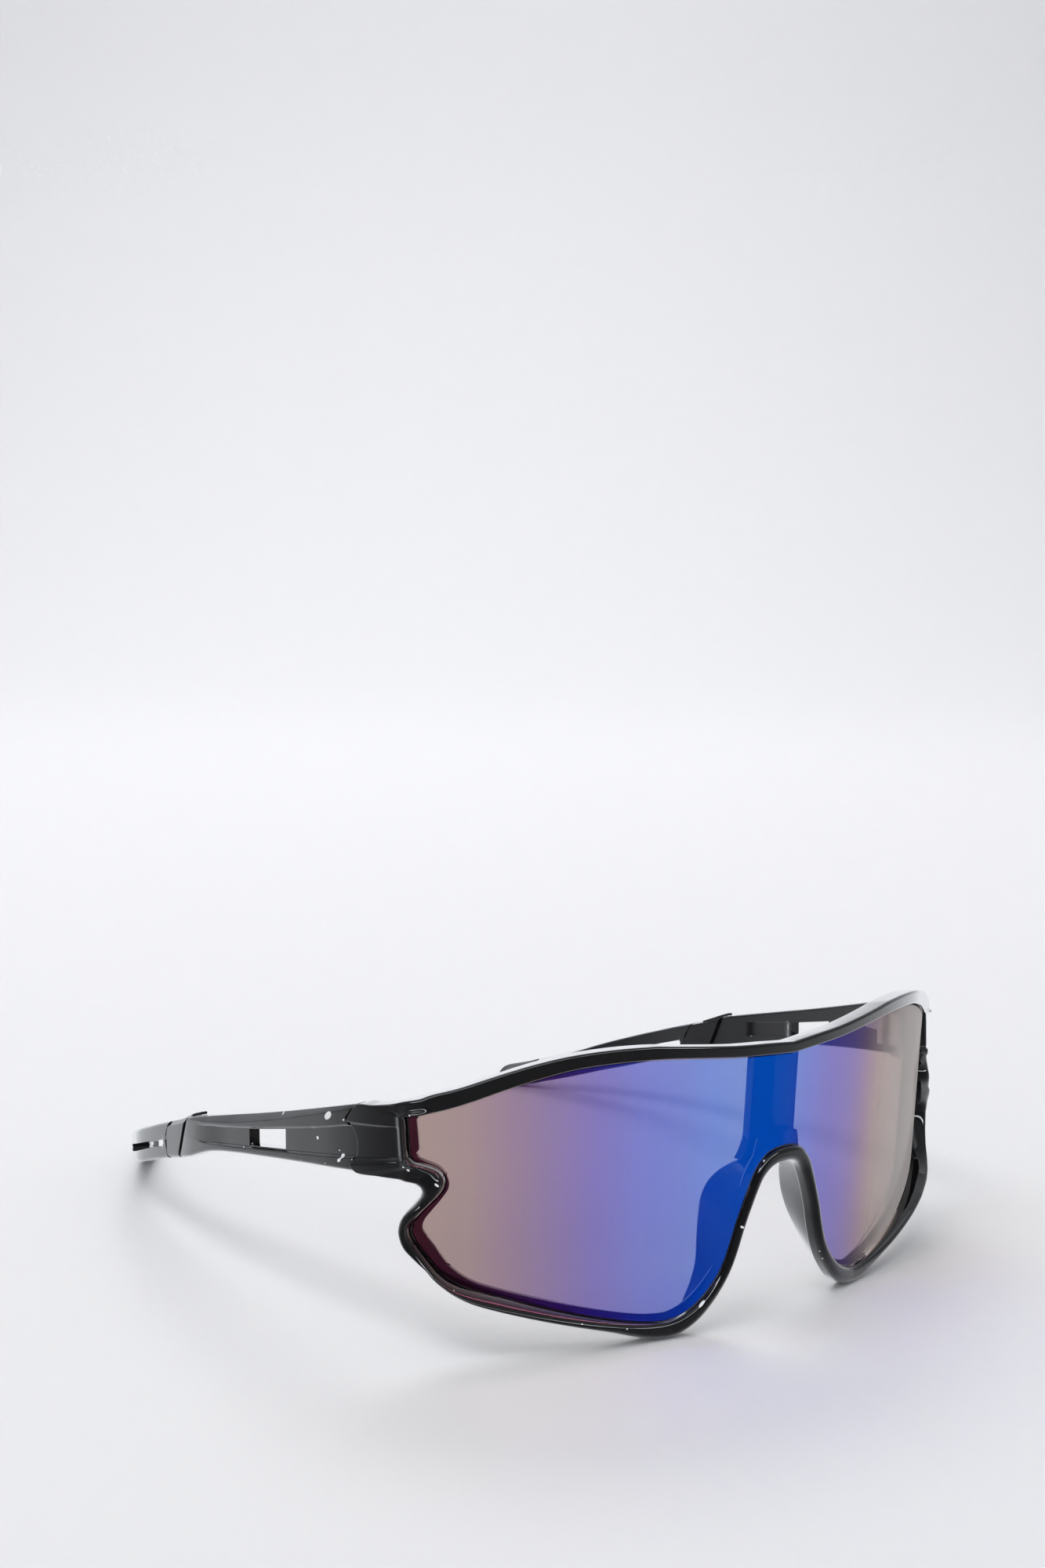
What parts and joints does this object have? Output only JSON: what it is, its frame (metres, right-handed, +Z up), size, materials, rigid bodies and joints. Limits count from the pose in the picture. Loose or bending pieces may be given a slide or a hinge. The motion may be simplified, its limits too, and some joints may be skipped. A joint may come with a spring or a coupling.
{
  "type": "sunglasses",
  "caption": "Wraparound sport sunglasses with a mirrored shield lens, a glossy frame and two folding temples with windows and slotted ear sections.",
  "frame": {"origin": "middle of the footprint, on the floor plane the sunglasses rest on", "axes": "+Z up, -Y the way the wearer looks, +X the wearer's left"},
  "size_m": [0.149, 0.1604, 0.055],
  "materials": {
    "frame_gloss": "high-gloss injection-moulded nylon",
    "collar_gloss": "satin-gloss moulded nylon",
    "ear_rubber": "smooth moulded nylon",
    "tip_matte": "matte soft-touch",
    "lens_mirror": "blue to violet mirror coating on a tinted lens",
    "steel": "plain steel"
  },
  "bodies": {
    "front": {"front_frame": "frame_gloss", "shield_lens": "lens_mirror", "left_hinge_front_leaf": "steel", "left_hinge_screw": "steel", "right_hinge_front_leaf": "steel", "right_hinge_screw": "steel"},
    "left_temple": {"left_temple_arm": "frame_gloss", "left_temple_collar": "collar_gloss", "left_ear_section": "ear_rubber", "left_temple_tip": "tip_matte", "left_temple_core": "steel", "left_hinge_temple_leaf": "steel"},
    "right_temple": {"right_temple_arm": "frame_gloss", "right_temple_collar": "collar_gloss", "right_ear_section": "ear_rubber", "right_temple_tip": "tip_matte", "right_temple_core": "steel", "right_hinge_temple_leaf": "steel"}
  },
  "joints": [
    {"name": "left_temple_fold", "type": "hinge", "parent": "front", "child": "left_temple", "pos_m": [0.0661, -0.0401, 0.0388], "axis": [0, 0, 1], "range_deg": [0, 85]},
    {"name": "right_temple_fold", "type": "hinge", "parent": "front", "child": "right_temple", "pos_m": [-0.0661, -0.0401, 0.0388], "axis": [0, 0, -1], "range_deg": [0, 77]}
  ]
}
